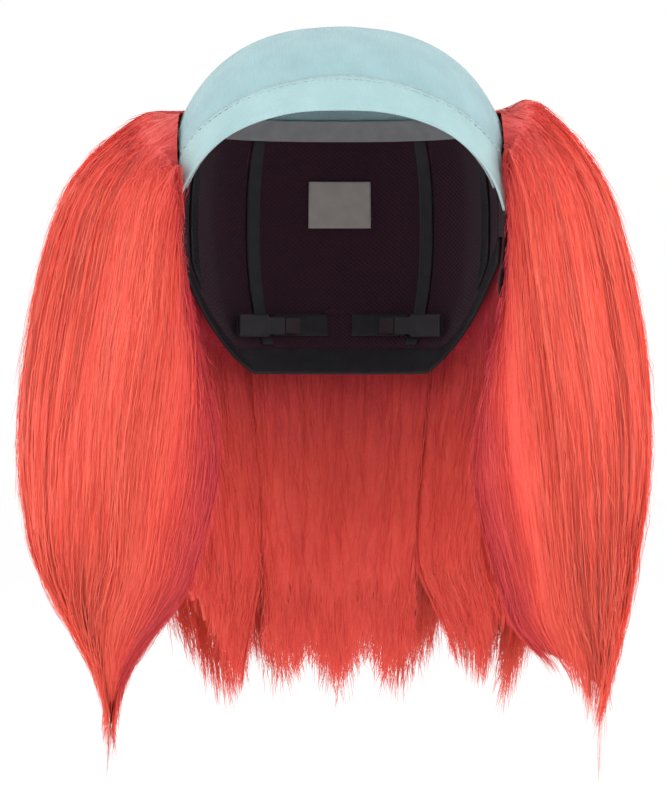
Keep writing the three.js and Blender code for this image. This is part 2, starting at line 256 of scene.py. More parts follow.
def ribbed(name, light, dark, pitch, depth=0.0003, sheen=0.15):
    """Woven elastic: ribs across the strip, fine threads along it."""
    n = Nodes(name, 0.75, sheen)
    wale, course = n.thread_grid(pitch, pitch * 0.35)
    ribs = n.math("ADD", n.math("MULTIPLY", course, 0.75), n.math("MULTIPLY", wale, 0.25))
    cloud = n.noise(n.attribute("cloth").outputs["Vector"], 140, 2)
    shade = n.math("ADD", n.math("MULTIPLY", ribs, 0.3), cloud)
    n.colour(n.ramp(shade, (0.2, dark), (0.85, light)))
    n.bump(ribs, depth)
    return n.material


def hair_material(name, deep, body, bright):
    """Matt synthetic hair: a tone for each strand, from the crimson of painted shade to the orange of painted
    light, with soft fine clouding.
    """
    n = Nodes(name, 0.62, 0.5, 0.16)
    n.shader.inputs["Sheen Roughness"].default_value = 0.5
    n.shader.inputs["Sheen Tint"].default_value = srgb(255, 170, 150)
    tone = n.attribute("tone").outputs["Fac"]
    place = n.add("ShaderNodeTexCoord").outputs["Object"]
    clouds = n.math("SUBTRACT", n.noise(place, 55, 3, 0.6), 0.5)
    grain = n.math("SUBTRACT", n.noise(place, 900, 2, 0.6), 0.5)
    uneven = n.math("ADD", n.math("MULTIPLY", clouds, 0.3), n.math("MULTIPLY", grain, 0.35))
    value = n.math("ADD", tone, uneven, clamp=True)
    n.colour(n.ramp(value, (0.0, deep), (0.5, body), (1.0, bright)))
    n.bump(grain, 0.0002)
    return n.material


def plain_noise(name, light, dark, scale, roughness, metallic=0.0, depth=0.0001, specular=0.4):
    """Moulded or rolled stock: a faint grain in colour and relief."""
    n = Nodes(name, roughness, 0, specular)
    n.shader.inputs["Metallic"].default_value = metallic
    place = n.add("ShaderNodeTexCoord").outputs["Object"]
    grain = n.noise(place, scale, 5, 0.6)
    n.colour(n.ramp(grain, (0.3, dark), (0.7, light)))
    n.bump(grain, depth)
    return n.material


CAP_KNIT = knit("cap_knit", srgb(163, 199, 204), srgb(148, 184, 190), 1.1 * MM, 0.00012)
HEM_KNIT = knit("hem_knit", srgb(177, 210, 212), srgb(162, 196, 199), 1.1 * MM, 0.00014)
THREAD = plain_noise("sewing_thread", srgb(192, 214, 217), srgb(162, 188, 194), 1500, 0.6, depth=0.0001)
# The gap colour is painted shade: the red hair seen through the net, darkened.
NET = net("elastic_net", srgb(34, 36, 56), srgb(70, 16, 22), 2.2 * MM)
ELASTIC = ribbed("woven_elastic", srgb(46, 48, 62), srgb(18, 19, 28), 0.9 * MM)
TAPE = ribbed("cotton_tape", srgb(226, 232, 234), srgb(196, 206, 212), 0.8 * MM, 0.0002)
TRACK = ribbed("sewn_track", srgb(196, 58, 42), srgb(120, 22, 24), 0.7 * MM)
LABEL = ribbed("satin_label", srgb(238, 236, 228), srgb(218, 214, 204), 0.5 * MM, 0.0001, 0.5)
# The ramp's crimson end is painted shade and its brightest orange is painted light; random strand tones also
# move along it.
HAIR = hair_material("synthetic_hair", srgb(206, 64, 78), srgb(244, 94, 82), srgb(254, 122, 100))
PLASTIC = plain_noise("moulded_plastic", srgb(40, 40, 44), srgb(26, 26, 30), 900, 0.38, specular=0.5)
STAY_METAL = plain_noise("rolled_strip", srgb(190, 192, 194), srgb(160, 162, 166), 700, 0.35, metallic=1.0)

# ---------- meshes ----------


def new_piece(name, points, quads, material, cloth=None):
    """A mesh object from point and quad arrays; a triangle has -1 as its last corner."""
    mesh = bpy.data.meshes.new(name)
    faces = [[int(i) for i in face if i >= 0] for face in quads]
    mesh.from_pydata([tuple(p) for p in points], [], faces)
    mesh.polygons.foreach_set("use_smooth", [True] * len(mesh.polygons))
    if cloth is not None:
        attribute = mesh.attributes.new("cloth", "FLOAT_VECTOR", "POINT")
        attribute.data.foreach_set("vector", np.asarray(cloth, np.float32).ravel())
    mesh.materials.append(material)
    mesh.validate()
    piece = bpy.data.objects.new(name, mesh)
    bpy.context.scene.collection.objects.link(piece)
    return piece


def ring_quads(grid):
    """Quads between rings of points that close round; each row of the grid is one ring."""
    beside = np.roll(grid, -1, axis=1)
    return np.stack([grid[:-1], beside[:-1], beside[1:], grid[1:]], axis=-1).reshape(-1, 4)


def end_caps(grid):
    """The two faces that close the ends of a row of rings."""
    return [grid[0][::-1].tolist(), grid[-1].tolist()]


def strip_section(inside, outside, rows, rounding):
    """A strip's closed section, as (share of the height, extra height, lift) points, with rounded edges."""
    middle, half = (inside + outside) / 2, (outside - inside) / 2
    shares = np.linspace(0, 1, rows)
    outer = [(s, 0, outside) for s in shares]
    inner = [(s, 0, inside) for s in shares[::-1]]
    top = [(1, rounding * math.cos(a), middle + half * math.sin(a)) for a in (math.pi / 4, 0, -math.pi / 4)]
    low = [(0, -rounding * math.cos(a), middle + half * math.sin(a)) for a in (-math.pi / 4, 0, math.pi / 4)]
    return np.array(outer + top + inner + low)


def swept(name, azimuths, low, high, section, material, ripple=None):
    """A closed cloth piece: a section carried round the form between two height lines."""
    azimuth = np.asarray(azimuths, float)[:, None]
    share, extra, lift = section[:, 0], section[:, 1], section[:, 2]
    z = mix(low(azimuth), high(azimuth), share) + extra
    lifts = lift + 0 * z
    if ripple is not None:
        lifts = lifts + ripple(azimuth + 0 * z, z)
    points = lifted(form_points(azimuth + 0 * z, z), lifts)
    columns, loops = z.shape
    along = np.concatenate([[0], np.cumsum(np.linalg.norm(np.diff(points[:, 0], axis=0), axis=1))])
    across = np.concatenate([[0], np.cumsum(np.linalg.norm(np.diff(points[columns // 2], axis=0), axis=1))])
    cloth = np.stack([along[:, None] + 0 * z, across[None, :] + 0 * z, 0 * z], axis=-1)
    grid = np.arange(columns * loops).reshape(columns, loops)
    ahead, beside = grid[1:], np.roll(grid, -1, axis=1)
    quads = np.stack([grid[:-1], ahead, beside[1:], beside[:-1]], axis=-1).reshape(-1, 4).tolist()
    quads.append(grid[0].tolist())
    quads.append(grid[-1][::-1].tolist())
    return new_piece(name, points.reshape(-1, 3), quads, material, cloth.reshape(-1, 3))


def side_range(sign, near, far, step):
    """Azimuths from near to far on one side, lowest first."""
    count = max(3, int(abs(far - near) / step) + 1)
    azimuths = np.linspace(near, far, count)
    return azimuths if sign > 0 else -azimuths[::-1]


def stand_in(piece, node, body=BODY):
    """Puts a piece on a body, in place of a CAD solid."""
    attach(piece, body)
    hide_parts(node)


def cloth_sheet(piece, node):
    stand_in(piece, node)


# ---------- the white cap ----------

CROWN_THICKNESS = 0.9 * MM
CROWN_COLUMNS, CROWN_RINGS = 240, 90
# How far the crown reaches into the hem, its two faces there, where it starts to dip, and its rounded edge.
CROWN_TUCK, TUCKED_LIFT, CROWN_DIP, CROWN_FOLD = 2.5 * MM, (0.62 * MM, 1.12 * MM), 1.5 * MM, 0.35 * MM


def crown_ripple(azimuth, z):
    """Faint tension folds: from the hem's ends up the sides, and a soft gather just above the rim."""
    away = from_front(azimuth)
    above = np.clip((z - crown_edge(azimuth)) / (22 * MM), 0, 1)
    near_edge = (1 - above) ** 2
    gather = 0.35 * MM * np.sin(np.radians(azimuth) * 46 + 3 * np.sin(np.radians(azimuth) * 7)) * near_edge
    gather = gather * ease(away, 50, 70)
    fold_place = np.exp(-(((away - 62 - 260 * (z - 0.04)) / 5) ** 2))
    fold = 0.9 * MM * fold_place * np.exp(-(((z - 0.045) / 0.018) ** 2))
    lumps = 0.25 * MM * np.sin(np.radians(azimuth) * 5 + 1.3) * np.sin(z * 90)
    return gather + fold + lumps


def make_crown():
    """The bald crown: a smooth shell down to the rim, tucked between the hem's two plies."""
    columns, rings = CROWN_COLUMNS, CROWN_RINGS
    azimuth = np.arange(columns)[:, None] * 360 / columns
    tuck = CROWN_TUCK * (1 - ease(from_front(azimuth), HEM_END - 2, HEM_END))
    edge_angle = np.arccos(((crown_edge(azimuth) - tuck - CENTRE_Z) / RISE) ** (POWER / 2))
    share = np.linspace(0, 1, rings + 1)[1:][None, :]
    angle = share * edge_angle
    surface = ring_points(azimuth, np.sin(angle) ** (2 / POWER), RISE * np.cos(angle) ** (2 / POWER))
    ripple = crown_ripple(azimuth + 0 * share, surface[..., 2])
    normals = form_normals(surface)
    tucked = ease(crown_edge(azimuth) + CROWN_DIP - surface[..., 2], 0, 2 * MM) * (tuck > 0)
    outer = surface + normals * mix(CROWN_THICKNESS + ripple, TUCKED_LIFT[1], tucked)[..., None]
    inner = surface + normals * mix(ripple * 0.8, TUCKED_LIFT[0], tucked)[..., None]
    fold = (outer[:, -1:] + inner[:, -1:]) / 2 + np.array([0, 0, -CROWN_FOLD])
    section = np.concatenate([outer, fold, inner[:, ::-1]], axis=1)
    loops = section.shape[1]
    top = np.array([[0, CENTRE_Y, CENTRE_Z + RISE + CROWN_THICKNESS], [0, CENTRE_Y, CENTRE_Z + RISE]])
    points = np.concatenate([section.reshape(-1, 3), top])
    grid = np.arange(columns * loops).reshape(columns, loops)
    beside = np.roll(grid, -1, axis=0)
    corners = [grid[:, :-1], grid[:, 1:], beside[:, 1:], beside[:, :-1]]
    quads = np.stack(corners, axis=-1).reshape(-1, 4).tolist()
    outer_top, inner_top = columns * loops, columns * loops + 1
    for i in range(columns):
        quads.append([outer_top, grid[i, 0], beside[i, 0], -1])
        quads.append([inner_top, beside[i, -1], grid[i, -1], -1])
    arc = np.linalg.norm(points - top[0], axis=1)
    turn = np.arctan2(points[:, 0], points[:, 1] - CENTRE_Y)
    cloth = np.stack([arc * np.sin(turn), arc * np.cos(turn), 0 * arc], axis=-1)
    return new_piece("crown", points, quads, CAP_KNIT, cloth)


crown = make_crown()
cloth_sheet(crown, "crown_cap")


STITCH_COUNT, STITCH_SPAN = 58, 55
STITCH_DROP, STITCH_LIFT, STITCH_LENGTH, STITCH_WIDTH = 1.7 * MM, 1.72 * MM, 2.3 * MM, 0.55 * MM


def hem_section():
    """A folded hem: two plies of cloth joined by a round fold at the lower edge, as one closed section."""
    ply, outside, inside = 0.45 * MM, 1.7 * MM, 0.05 * MM
    middle = (outside + inside) / 2
    shares = np.linspace(0.04, 1, 9)
    half = (outside - inside) / 2
    turn = [math.radians(a) for a in (60, 30, 0, -30, -60)]
    outer = [(s, 0, outside) for s in shares[::-1]]
    fold = [(0.02, -0.9 * MM * math.cos(a), middle + half * math.sin(a)) for a in turn]
    inner = [(s, 0, inside) for s in shares]
    inner_back = [(s, 0, inside + ply) for s in shares[::-1]]
    core = [(0.03, -0.35 * MM * math.cos(a), middle + (half - ply) * math.sin(a)) for a in turn[::-1]]
    outer_back = [(s, 0, outside - ply) for s in shares]
    return np.array(outer + fold + inner + inner_back + core + outer_back)[::-1]


def hem_ripple(azimuth, z):
    """Slight waves along the hem where the stitching pulls the cloth."""
    up = (z - hem_low(azimuth)) / np.maximum(hem_top(azimuth) - hem_low(azimuth), 1 * MM)
    pull = 0.16 * MM * np.sin(np.radians(azimuth) * 105) * np.clip(up, 0, 1) ** 3
    groove = -0.35 * MM * np.exp(-(((up - 0.9) / 0.05) ** 2))
    return pull + groove + 0.12 * MM * np.sin(np.radians(azimuth) * 17 + 40 * up)


hem_azimuths = np.linspace(-HEM_END, HEM_END, 170)
hem = swept("front_hem", hem_azimuths, hem_low, lambda a: hem_top(a) - 0.1 * MM, hem_section(), HEM_KNIT,
            hem_ripple)
cloth_sheet(hem, "front_hem_band")


def tube_points(centres, sides, radii, up):
    """Rings of points round a line of centres."""
    tangent = np.gradient(centres, axis=0)
    tangent /= np.linalg.norm(tangent, axis=1, keepdims=True)
    across = np.cross(up, tangent)
    across /= np.linalg.norm(across, axis=1, keepdims=True)
    over = np.cross(tangent, across)
    turn = np.arange(sides) * 2 * np.pi / sides
    return (centres[:, None] + radii[:, None, None] * (across[:, None] * np.cos(turn)[None, :, None]
            + over[:, None] * np.sin(turn)[None, :, None]))


def stitch_run(name, azimuths, height, lift, length, thickness, material):
    """A row of separate stitches along a height line: short threads that dip into the cloth at both ends."""
    points, quads, count = [], [], 0
    sides, rings = 8, 7
    shape = np.array([0.35, 0.8, 1, 1, 1, 0.8, 0.35])
    dip = np.array([-1.0, -0.35, 0, 0.1, 0, -0.35, -1.0]) * thickness
    for azimuth in azimuths:
        here = form_points(np.array([azimuth]), height(np.array([azimuth])))[0]
        radius = np.linalg.norm(here[:2] - [0, CENTRE_Y])
        half = np.degrees(length / 2 / radius)
        run = np.linspace(azimuth - half, azimuth + half, rings)
        centres = lifted(form_points(run, height(run)), lift + dip)
        tube = tube_points(centres, sides, thickness / 2 * shape, form_normals(centres))
        points.append(tube.reshape(-1, 3))
        grid = np.arange(rings * sides).reshape(rings, sides) + count
        quads += ring_quads(grid).tolist() + end_caps(grid)
        count += rings * sides
    return new_piece(name, np.concatenate(points), quads, material)


stitches = stitch_run("hem_stitches", np.linspace(-STITCH_SPAN, STITCH_SPAN, STITCH_COUNT),
                      lambda a: hem_top(a) - STITCH_DROP, STITCH_LIFT, STITCH_LENGTH, STITCH_WIDTH, THREAD)
stand_in(stitches, "hem_topstitch")

# ---------- tapes, base and elastic ----------

RIM_TAPE_HALF, TRACK_HALF = 4.5 * MM, 2.5 * MM
LINING_ABOVE_FOLD, LINING_BELOW_SEAM = 2 * MM, 3 * MM
RIBBON_INSET, RIBBON_BELOW_RIM = 1 * MM, 5.5 * MM
# Azimuths: the ends of the rear and the side panels, the half-width of a ribbon, and the ribbons' places.
REAR_START, SIDE_END, RIBBON_HALF, SIDE_RIBBON, REAR_RIBBONS = 120.3, 119.7, 2.09, 97, (128, 154)
TRACK_ROWS = (0.9, 0.56, 0.22)
# The ends of the lining and of the label, the stay's sleeve, the hook pockets and the tracks, as azimuths.
LINING_END, LABEL_SPAN, STAY_SPAN = 52, (171, 189), (64.2, 71.8)
POCKET_SPAN, TRACK_SPAN = (158, 176), (60, 179.5)
LABEL_LOW, LABEL_HIGH, STAY_LOW, STAY_HIGH = 14 * MM, 36 * MM, -16 * MM, 6 * MM
POCKET_LOW, POCKET_HIGH = -38.2 * MM, -28.2 * MM
# Kinds of strip: how high the inner and the outer face lie on the form, the material and the slot.
LYING_INSIDE = (-1.8 * MM, -0.8 * MM)
BASE_NET = (0, 0.9 * MM, NET, "net_fabric")
COTTON_TAPE = (*LYING_INSIDE, TAPE, "hem_fabric")
FLAT_ELASTIC = (*LYING_INSIDE, ELASTIC, "elastic")
SATIN = (*LYING_INSIDE, LABEL, "label_fabric")
POCKET_ELASTIC = (-2.5 * MM, -1.7 * MM, ELASTIC, "elastic")
NAPE_ELASTIC = (0, 1.4 * MM, ELASTIC, "elastic")
HAIR_TRACK = (1.3 * MM, 2.1 * MM, TRACK, "weft_stitching")


def strip(name, node, azimuths, low, high, kind, rounding=0.35 * MM, rows=8, ripple=None):
    """One strip of cloth or elastic on the form, in place of a CAD solid."""
    inside, outside, material, slot = kind
    piece = swept(name, azimuths, low, high, strip_section(inside, outside, rows, rounding), material, ripple)
    middle = np.array([azimuths[len(azimuths) // 2]])
    width = float(np.linalg.norm(form_points(middle, high(middle)) - form_points(middle, low(middle))))
    cloth_sheet(piece, node)


def quilt(azimuth, z):
    """Small uneven waves, as in a sewn tape."""
    return 0.1 * MM * np.sin(np.radians(azimuth) * 38) * np.sin(z * 900)


def pocket_stitching(azimuth, z):
    """Grooves across the pocket tape, where a line of stitches parts one hook pocket from the next."""
    return -0.35 * MM * np.exp(-(((from_front(azimuth) % 4.5 - 2.25) / 0.45) ** 2))


def ear_tab_floor(azimuth):
    """The round lower edge of the ear tab."""
    middle = (RIM_START + TAB_END) / 2
    offset = (from_front(azimuth) - middle) / (TAB_END - middle)
    return EAR_ARCH - TAB_DROP + 11 * MM * offset ** 4


def under_rim(azimuth):
    return rim(azimuth) - SEAM_GAP


def ribbon(name, node, azimuth, sign, low, rows):
    """An upright elastic ribbon inside the base, from a height line to just below the rim."""
    strip(name, node, side_range(sign, azimuth - RIBBON_HALF, azimuth + RIBBON_HALF, 0.5), low,
          lambda a: rim(a) - RIBBON_BELOW_RIM, FLAT_ELASTIC, rows=rows)


strip("forehead_lining", "forehead_tape", np.linspace(-LINING_END, LINING_END, 120),
      lambda a: hem_low(a) + LINING_ABOVE_FOLD, lambda a: hem_top(a) - LINING_BELOW_SEAM, COTTON_TAPE,
      ripple=quilt)
strip("rim_tape", "rim_seam_tape", np.linspace(60, 300, 260), lambda a: rim(a) - RIM_TAPE_HALF,
      lambda a: rim(a) + RIM_TAPE_HALF, COTTON_TAPE, ripple=quilt)
rear_azimuths = np.linspace(REAR_START, 360 - REAR_START, 140)
strip("rear_net", "rear_base", rear_azimuths, nape_line, under_rim, BASE_NET, rows=30)
strip("nape_elastic", "nape_band", rear_azimuths, lambda a: nape_line(a) - SEAM_GAP - NAPE_BAND,
      lambda a: nape_line(a) - SEAM_GAP, NAPE_ELASTIC)
strip("blank_label", "care_label", np.linspace(*LABEL_SPAN, 24), level(LABEL_LOW), level(LABEL_HIGH), SATIN,
      rounding=0.2 * MM, rows=14)

for side, sign in (("left", -1), ("right", 1)):
    net_name, flap_name = f"side_net_{side}", f"ear_flap_{side}"
    strip(net_name, f"side_base_{side}", side_range(sign, RIM_START, SIDE_END, 0.9), level(EAR_ARCH),
          under_rim, BASE_NET, rows=16)
    strip(flap_name, f"ear_tab_{side}", side_range(sign, RIM_START, TAB_END, 0.6), ear_tab_floor,
          level(EAR_ARCH - SEAM_GAP), BASE_NET, rows=14)
    strip(f"stay_sleeve_{side}", f"stay_pocket_{side}", side_range(sign, *STAY_SPAN, 0.5), level(STAY_LOW),
          level(STAY_HIGH), POCKET_ELASTIC)
    ribbon(f"side_elastic_{side}", f"side_ribbon_{side}", SIDE_RIBBON, sign, level(EAR_ARCH + RIBBON_INSET),
           14)
    for number, azimuth in enumerate(REAR_RIBBONS, start=1):
        ribbon(f"rear_elastic_{side}_{number}", f"rear_ribbon_{side}_{number}", azimuth, sign,
               lambda a: nape_line(a) + RIBBON_INSET, 26)
    strip(f"hook_pockets_{side}", f"adjuster_pockets_{side}", side_range(sign, *POCKET_SPAN, 0.6),
          level(POCKET_LOW), level(POCKET_HIGH), FLAT_ELASTIC, ripple=pocket_stitching)
    for row, share in enumerate(TRACK_ROWS, start=1):
        strip(f"sewn_row_{row}_{side}", f"weft_row_{row}_{side}", side_range(sign, *TRACK_SPAN, 0.8),
              lambda a: row_height(a, share) - TRACK_HALF, lambda a: row_height(a, share) + TRACK_HALF,
              HAIR_TRACK)

# ---------- nape adjusters ----------

ADJUSTER_CENTRE = (28.6 * MM, 69.6 * MM, -33.2 * MM)
ADJUSTER_TURN = {"left": 180 + 27.6, "right": 180 - 27.6}
# Along an adjuster: the strap's and the sleeve's two ends. The strap's flat size goes round its edges.
STRAP_START, STRAP_END, STRAP_FLAT = -20.5 * MM, 3 * MM, (10 * MM, 24 * MM)
SLEEVE_START, SLEEVE_END = -21.5 * MM, -6 * MM
# Half-thickness and half-width of the strap, and of the sleeve's outside and inside.
STRAP_HALF, SLEEVE_OUTSIDE, SLEEVE_INSIDE = (0.5 * MM, 4 * MM), (1.8 * MM, 5.3 * MM), (1.05 * MM, 4.55 * MM)
HOOK_ROUNDING = 0.22 * MM


def adjuster_place(points, side, sign):
    """Points given along an adjuster (x towards the centre-back, y towards the head), put in the frame."""
    angle = math.radians(ADJUSTER_TURN[side])
    x, y = points[:, 0] * sign, points[:, 1]
    placed = np.stack([x * math.cos(angle) - y * math.sin(angle), x * math.sin(angle) + y * math.cos(angle),
                       points[:, 2]], axis=-1)
    return placed + np.array([ADJUSTER_CENTRE[0] * sign, ADJUSTER_CENTRE[1], ADJUSTER_CENTRE[2]])


def flat_tube(start, end, half_thickness, half_width, rounding, steps, wave=0.0):
    """A flat strip's closed surface along x, its section a rounded rectangle in y and z."""
    sides = 28
    turn = np.arange(sides) * 2 * np.pi / sides
    y = np.sign(np.cos(turn)) * np.abs(np.cos(turn)) ** 0.35 * half_thickness
    z = np.sign(np.sin(turn)) * np.abs(np.sin(turn)) ** 0.35 * half_width
    x = np.linspace(start, end, steps)
    swell = 1 + wave * np.sin(x / (0.9 * MM) * 2 * np.pi)
    ends = np.ones(steps)
    ends[[0, -1]] = rounding
    return np.stack([x[:, None] + 0 * y, (swell * ends)[:, None] * y, ends[:, None] * z], axis=-1)


def tube_piece(name, layers, caps, material, side, sign, cloth_from):
    """Joins rings of points into one closed piece and places it on an adjuster."""
    points = np.concatenate([layer.reshape(-1, 3) for layer in layers])
    quads, start = [], 0
    for index, layer in enumerate(layers):
        rings, sides = layer.shape[:2]
        grid = np.arange(rings * sides).reshape(rings, sides) + start
        start += rings * sides
        faces = ring_quads(grid)
        quads += (faces if index == 0 else faces[:, ::-1]).tolist()
        if caps:
            quads += end_caps(grid)
        elif index:
            outer = np.arange(rings * sides).reshape(rings, sides)
            for end, flip in ((0, False), (-1, True)):
                corners = [outer[end], grid[end], np.roll(grid[end], -1), np.roll(outer[end], -1)]
                ring = np.stack(corners, axis=-1)
                quads += (ring[:, ::-1] if flip else ring).tolist()
    cloth = np.stack([points[:, 0] - cloth_from, points[:, 2], 0 * points[:, 1]], axis=-1)
    return new_piece(name, adjuster_place(points, side, sign), quads, material, cloth)


for side, sign in (("left", -1), ("right", 1)):
    band = flat_tube(STRAP_START, STRAP_END, *STRAP_HALF, 0.75, 60, 0.05)
    strap = tube_piece(f"elastic_strap_{side}", [band], True, ELASTIC, side, sign, STRAP_START)
    stand_in(strap, f"adjuster_strap_{side}", f"adjuster_{side}")

    outer = flat_tube(SLEEVE_START, SLEEVE_END, *SLEEVE_OUTSIDE, 0.94, 40, 0.015)
    inner = flat_tube(SLEEVE_START, SLEEVE_END, *SLEEVE_INSIDE, 1, 40)
    sleeve = tube_piece(f"strap_sleeve_{side}", [outer, inner], False, ELASTIC, side, sign, SLEEVE_START)
    stand_in(sleeve, f"adjuster_channel_{side}")

    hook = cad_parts[f"adjuster_hook_{side}"]
    bevel = hook.modifiers.new("rounded_edges", "BEVEL")
    bevel.width, bevel.segments, bevel.limit_method = HOOK_ROUNDING, 3, "ANGLE"
    hook.data.materials.clear()
    hook.data.materials.append(PLASTIC)
    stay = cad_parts[f"ear_tab_stay_{side}"]
    stay.data.materials.clear()
    stay.data.materials.append(STAY_METAL)

# ---------- hair ----------

GUIDE_AZIMUTHS = np.array([59, 90, 135, 180])
OUTER_GUIDES = MM * np.array([
    [[95, 46], [108, 10], [117, -70], [108, -150], [98, -212]],
    [[91, 66], [124, 22], [141, -72], [133, -150], [114, -226]],
    [[107, 63], [127, 24], [135, -66], [127, -142], [112, -206]],
    [[112, 60], [122, 22], [127, -64], [120, -140], [107, -212]],
])
INNER_GUIDES = MM * np.array([
    [[85, -36], [73, -72], [67, -112], [76, -160], [88, -204]],
    [[84, -32], [75, -76], [70, -116], [82, -166], [100, -216]],
    [[92, -48], [84, -90], [78, -128], [79, -164], [86, -200]],
    [[94, -52], [85, -96], [78, -134], [79, -170], [88, -204]],
])
# Each row's place from a bunch's inner face (0) to its outer face (1), and where bunches start to gather.
HAIR_ROWS = ((0.7, 1.0), (0.37, 0.64), (0.0, 0.31))
GATHER_START = 0.45
SIDE_HAIR = {"gather": 0.62, "cover": 0.16, "spread": 1, "drop": 0, "sink": 0, "thin": 0}
REAR_HAIR = {"gather": 0.2, "cover": 0.14, "spread": 1, "drop": 0, "sink": 0, "thin": 0.8, "solid": 0.89,
             "face_edge": None}
# from, to: the azimuths of a bunch's edges. tip, gather: the azimuth that its tips bend to, and how much.
# drop, sink: how much lower the hair hangs at its tips, and next to its roots.
# spread: how much further the outside of the bunch stands out.
# face_edge: the edge next to the face, if any. overlap: how far the lowest and the top row reach over the
# base's front edge there, as shares of the bunch's width.
# cover: how far the top row's outer roots reach over the rim, as a share of the root rows' height.
# ends: how long the hair is across the bunch, as (place across, share of the full length).
# apex: where the tips draw together, as (place across, place from the inner to the outer face).
# draw: how strongly they draw together, and the shares of the way at which that starts and is done.
# cut: how much shorter the hair is a whole depth away from the apex.
# solid: the share of the length that is dense. thin: how much each row thins out at the end of that.
# whisker: a thin lock below the tip: its place from the inner to the outer face, its bend and its reach.
BUNCHES = (
    {**SIDE_HAIR, "name": "left", "from": -119.5, "to": -59.5, "tip": -88, "drop": 12 * MM, "sink": 7 * MM,
     "spread": 1.035, "face_edge": 1, "overlap": (0.15, 0.17), "apex": (0.5, 0.34), "draw": (1.0, 0.74, 0.96),
     "cut": 0.03, "solid": 0.93, "whisker": (0.34, 0, 1.045),
     "ends": ((0, 0.93), (0.3, 0.97), (0.5, 1.0), (0.7, 0.97), (1, 0.91))},
    {**REAR_HAIR, "name": "rear_left", "from": -151.5, "to": -120.5, "tip": -138, "drop": 4 * MM,
     "apex": (0.0, 0.6), "draw": (0.3, 0.66, 1.0), "cut": 0.03,
     "ends": ((0, 1.0), (0.25, 0.97), (0.6, 0.9), (1, 0.79))},
    {**REAR_HAIR, "name": "back", "from": 152.5, "to": 207.5, "tip": 180, "gather": 0.12,
     "apex": (0.5, 0.5), "draw": (0.1, 0.66, 1.0), "cut": 0.01,
     "ends": ((0, 0.93), (0.16, 1.0), (0.33, 0.92), (0.52, 1.0), (0.68, 0.93), (0.86, 0.99), (1, 0.93))},
    {**REAR_HAIR, "name": "rear_right", "from": 120.5, "to": 151.5, "tip": 138, "drop": 6 * MM,
     "apex": (0.45, 0.95), "draw": (0.4, 0.66, 1.0), "cut": 0.04,
     "ends": ((0, 0.87), (0.5, 1.0), (0.78, 0.92), (1, 0.96))},
    {**SIDE_HAIR, "name": "right", "from": 59.5, "to": 119.5, "tip": 88,
     "face_edge": 0, "overlap": (0.02, 0.09), "apex": (0.5, 0.95), "draw": (0.6, 0.82, 1.0),
     "cut": 0.085, "solid": 0.94, "whisker": (0.8, 9 * MM, 1.06),
     "ends": ((0, 0.95), (0.35, 0.96), (0.5, 0.97), (0.65, 0.96), (1, 0.94))},
)
# Mean radius and depth of a bunch, millimetres to a degree, and the lengths of its faces.
MEAN_RADIUS, MEAN_DEPTH, DEGREE_WIDTH = 0.13, 0.066, 2.2
FACE_LENGTH = {"outer": 0.30, "inner": 0.16, "edge": 0.15}
STRANDS_DENSITY, FIBRES_DENSITY, QUICK_SHARE = 40_000, 220_000, 0.3
# Strands in a lock and in a wisp, the share of loose strands, and of fibres that stand off or lie at tips.
LOCK_STRANDS, WISP_STRANDS, LOOSE_SHARE, FUZZ_SHARE, TIP_SHARE = 60, 9, 0.06, 0.2, 0.25
# How far locks, wisps and strands sway along and off their face, and in how many waves.
LOCK_SWAY, WISP_SWAY, STRAND_SWAY = (1.6 * MM, (0.5, 1.2)), (0.8 * MM, (1.5, 3)), (0.45 * MM, (3, 5))
WISP_LIFT, STRAND_LIFT, LOOSE_LIFT = (0.08 * MM, (1.5, 3)), (0.08 * MM, (3, 5)), 1.2 * MM
FIBRE_WAVES = (1.0, 2.6)
# Uneven lengths as shares of the whole length, how far fuzz stands off in millimetres, and uneven tones.
LOCK_LENGTHS, WISP_LENGTHS, STRAND_LENGTHS = (0.95, 1.02), (0.96, 1.01), (0.93, 1.0)
FIBRE_LENGTHS, FUZZ_LIFTS = (0.06, 0.15), (0.6, 3.5)
STRAND_TONES, FIBRE_TONES = 0.02, 0.05
# Shares of the way at which a long strand has its points, closer together near the root.
STRAND_SHARES = np.concatenate([np.linspace(0, 0.2, 4), np.linspace(0.2, 1, 14)[1:]])
FIBRE_RINGS = 9
WHISKER_STRANDS, WHISKER_RINGS, WHISKER_TWIST = 60, 14, 0.3
STRAND_WIDTH, FIBRE_WIDTH = 0.32 * MM, 0.27 * MM
# The dense body's grid, and how far rows and bunches reach into the next one.
CORE_COLUMNS, CORE_RINGS = 60, 48
ROW_OVERLAP, SIDE_OVERLAP = 0.045, 1.04
random = np.random.default_rng(11)


def guide_points(azimuth, guides):
    """The five guide points at each azimuth, eased between the guides on each side of it."""
    away = from_front(azimuth)
    after = np.clip(np.searchsorted(GUIDE_AZIMUTHS, away), 1, len(GUIDE_AZIMUTHS) - 1)
    share = ease(away, GUIDE_AZIMUTHS[after - 1], GUIDE_AZIMUTHS[after])
    return mix(guides[after - 1], guides[after], share[..., None, None])


def curve_points(controls, share):
    """Points at a share of the way along smooth curves through their control points."""
    place = share * (controls.shape[-2] - 1)
    first = np.clip(np.floor(place).astype(int), 0, controls.shape[-2] - 2)
    part = (place - first)[..., None]
    before = 2 * controls[..., :1, :] - controls[..., 1:2, :]
    beyond = 2 * controls[..., -1:, :] - controls[..., -2:-1, :]
    controls = np.concatenate([before, controls, beyond], axis=-2)
    places = (first[..., None, None] + k for k in range(4))
    a, b, c, d = (np.take_along_axis(controls, place, axis=-2)[..., 0, :] for place in places)
    leaving, arriving = (c - a) / 2, (d - b) / 2
    cubic, square = 2 * b - 2 * c + leaving + arriving, 3 * c - 3 * b - 2 * leaving - arriving
    return cubic * part ** 3 + square * part ** 2 + leaving * part + b


